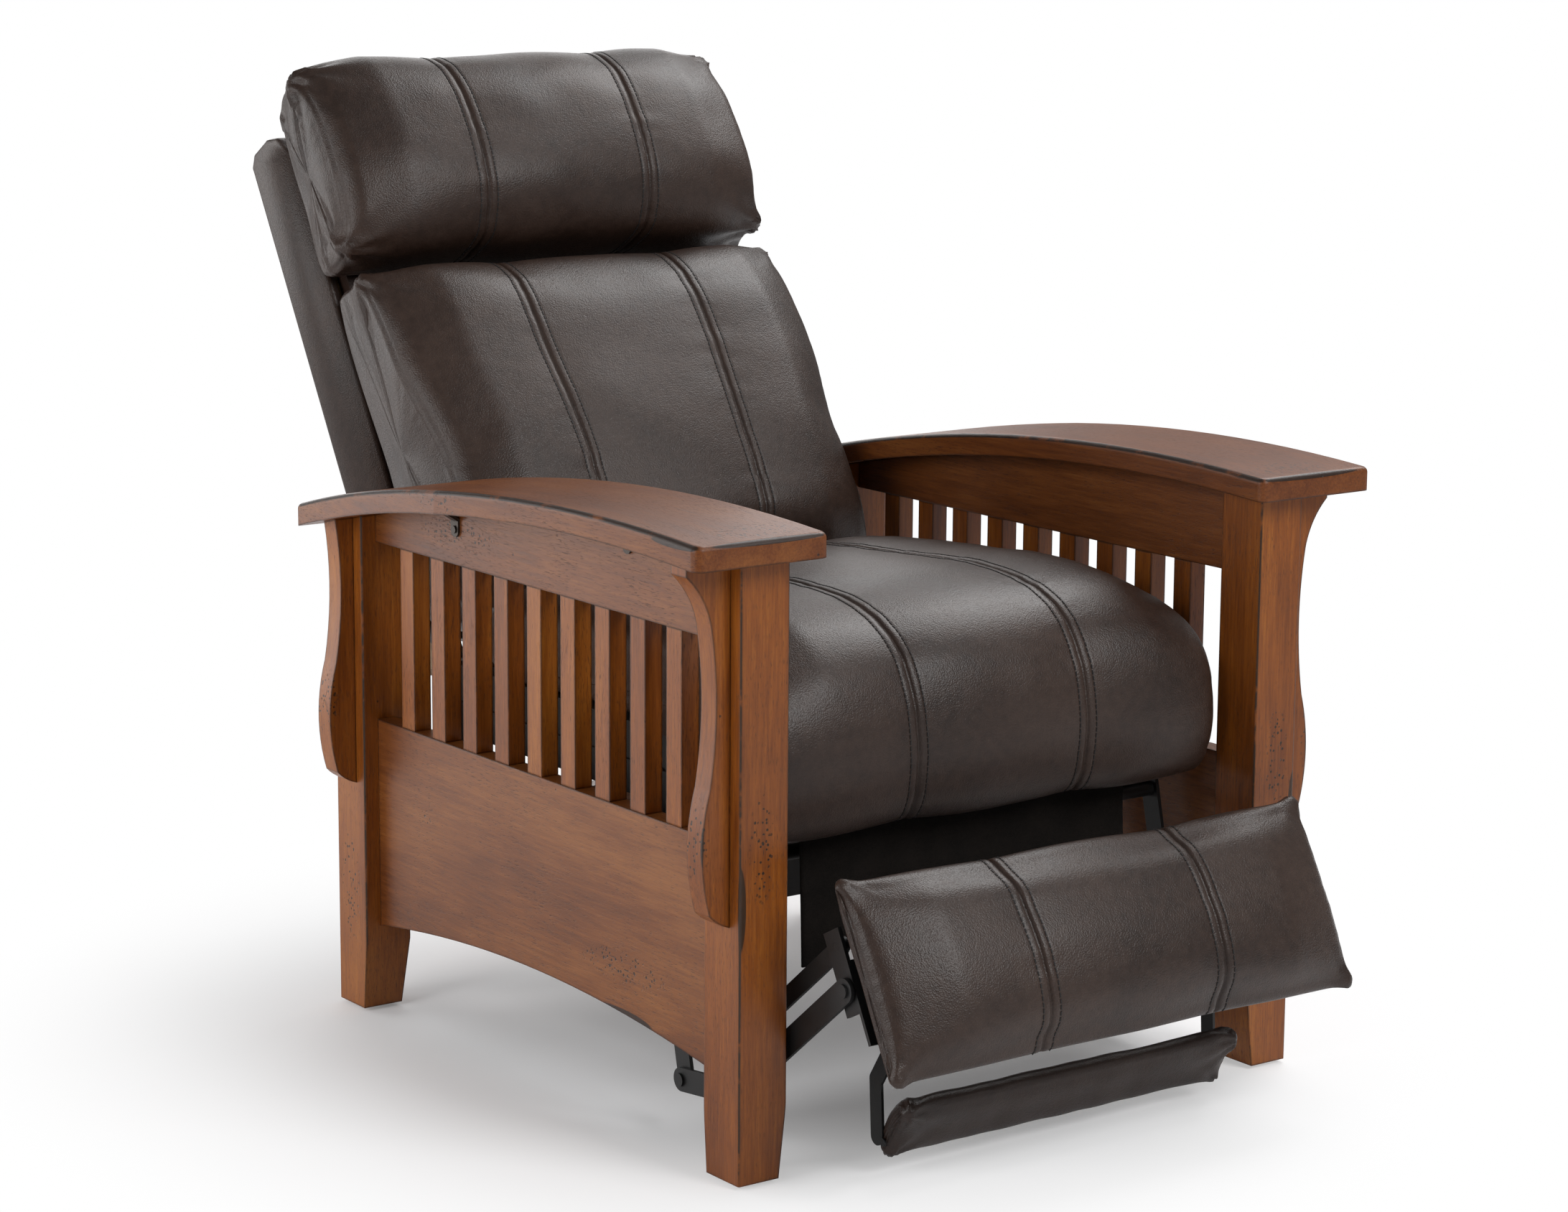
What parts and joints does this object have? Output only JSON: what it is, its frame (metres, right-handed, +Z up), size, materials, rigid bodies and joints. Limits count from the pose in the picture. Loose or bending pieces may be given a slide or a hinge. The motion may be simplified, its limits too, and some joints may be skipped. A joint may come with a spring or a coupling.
{
  "type": "reclining armchair",
  "caption": "Wooden reclining armchair with bowed arms, slatted sides, a leather seat, a tilting back with head pillow, and a folding footrest.",
  "frame": {"origin": "on the floor, under the middle of the chair's overall box at rest", "axes": "+X to the viewer's right seen from the front, +Y to the back, +Z up"},
  "size_m": [0.838, 1.2596, 1.0211],
  "materials": {
    "stained_wood": "satin lacquer over a warm brown stain",
    "plain_wood": "unfinished",
    "leather": "dark brown, fine grain, satin",
    "dark_leather": "black-brown, satin",
    "black_felt": "matt felt",
    "black_steel": "semi-gloss black",
    "bright_steel": "zinc plated",
    "runner_plastic": "natural",
    "glide_plastic": "matt"
  },
  "bodies": {
    "frame": {"left_arm_board": "stained_wood", "right_arm_board": "stained_wood", "left_front_post": "stained_wood", "right_front_post": "stained_wood", "left_rear_post": "stained_wood", "right_rear_post": "stained_wood", "left_top_rail": "stained_wood", "right_top_rail": "stained_wood", "left_bottom_panel": "stained_wood", "right_bottom_panel": "stained_wood", "left_side_slats": "stained_wood", "right_side_slats": "stained_wood", "left_front_corbel": "stained_wood", "right_front_corbel": "stained_wood", "rear_corbels": "stained_wood", "arm_brackets": "bright_steel", "frame_screws": "bright_steel", "foot_glides": "glide_plastic", "rear_stretcher": "stained_wood", "base_cross_rail": "plain_wood", "seat_tracks": "bright_steel"},
    "seat": {"seat_side_rails": "plain_wood", "seat_cross_rails": "plain_wood", "seat_plates": "black_steel", "seat_plate_bolts": "bright_steel", "seat_pivot_rivets": "bright_steel", "back_hinge_plates": "black_steel", "back_hinge_pins": "bright_steel", "seat_springs": "bright_steel", "seat_spring_clips": "bright_steel", "seat_cushion": "leather", "seat_runners": "runner_plastic", "runner_axles": "bright_steel", "felt_apron": "black_felt"},
    "back": {"back_posts": "plain_wood", "back_rails": "plain_wood", "back_shell": "leather", "back_deck": "plain_wood", "back_springs": "bright_steel", "back_spring_clips": "bright_steel", "back_cushion": "leather", "head_pillow": "leather", "back_hinge_arms": "black_steel"},
    "front_bars": {"front_swing_bars": "black_steel", "swing_cross_tube": "black_steel", "swing_knee_rivets": "bright_steel"},
    "rear_bars": {"rear_swing_bars": "black_steel"},
    "carrier": {"footrest_carriers": "black_steel", "rear_knee_rivets": "bright_steel"},
    "control": {"control_links": "black_steel"},
    "footrest": {"footrest_pad": "leather", "footrest_board": "plain_wood", "footrest_brackets": "black_steel", "footrest_rivets": "bright_steel", "footrest_screws": "bright_steel", "flipper_lugs": "black_steel", "flipper_pins": "bright_steel"},
    "flipper": {"flipper_board": "dark_leather", "flipper_arms": "black_steel", "flipper_screws": "bright_steel"}
  },
  "joints": [
    {"name": "seat_slide", "type": "slide", "parent": "frame", "child": "seat", "axis": [0, -1, 0], "range_m": [-0.0155, 0.0475]},
    {"name": "back_recline", "type": "hinge", "parent": "seat", "child": "back", "pos_m": [0, 0.22151, 0.38], "axis": [-1, 0, 0], "range_deg": [-9, 28]},
    {"name": "footrest_swing", "type": "hinge", "parent": "seat", "child": "front_bars", "pos_m": [0, -0.31249, 0.3], "axis": [-1, 0, 0], "range_deg": [-27.8, 60]},
    {"name": "rear_swing", "type": "hinge", "parent": "seat", "child": "rear_bars", "pos_m": [0, -0.22249, 0.29], "axis": [-1, 0, 0], "range_deg": [-28, 60.2]},
    {"name": "carrier_level", "type": "hinge", "parent": "front_bars", "child": "carrier", "pos_m": [0, -0.36749, 0.06], "axis": [-1, 0, 0], "range_deg": [-60.2, 28]},
    {"name": "control_level", "type": "hinge", "parent": "front_bars", "child": "control", "pos_m": [0, -0.3479, 0.09715], "axis": [-1, 0, 0], "range_deg": [-60.2, 28]},
    {"name": "footrest_tilt", "type": "hinge", "parent": "carrier", "child": "footrest", "pos_m": [0, -0.54355, 0.20629], "axis": [-1, 0, 0], "range_deg": [-28, 60.2]},
    {"name": "flipper_unfold", "type": "hinge", "parent": "footrest", "child": "flipper", "pos_m": [0, -0.54469, 0.17411], "axis": [-1, 0, 0], "range_deg": [-28, 60.2]}
  ],
  "couplings": [
    {"joint": "seat_slide", "follows": "back_recline", "m_per_rad": 0.0963},
    {"joint": "rear_swing", "follows": "footrest_swing", "ratio": 1},
    {"joint": "carrier_level", "follows": "footrest_swing", "ratio": -1},
    {"joint": "control_level", "follows": "footrest_swing", "ratio": -1},
    {"joint": "footrest_tilt", "follows": "footrest_swing", "ratio": 1},
    {"joint": "flipper_unfold", "follows": "footrest_swing", "ratio": 1}
  ]
}
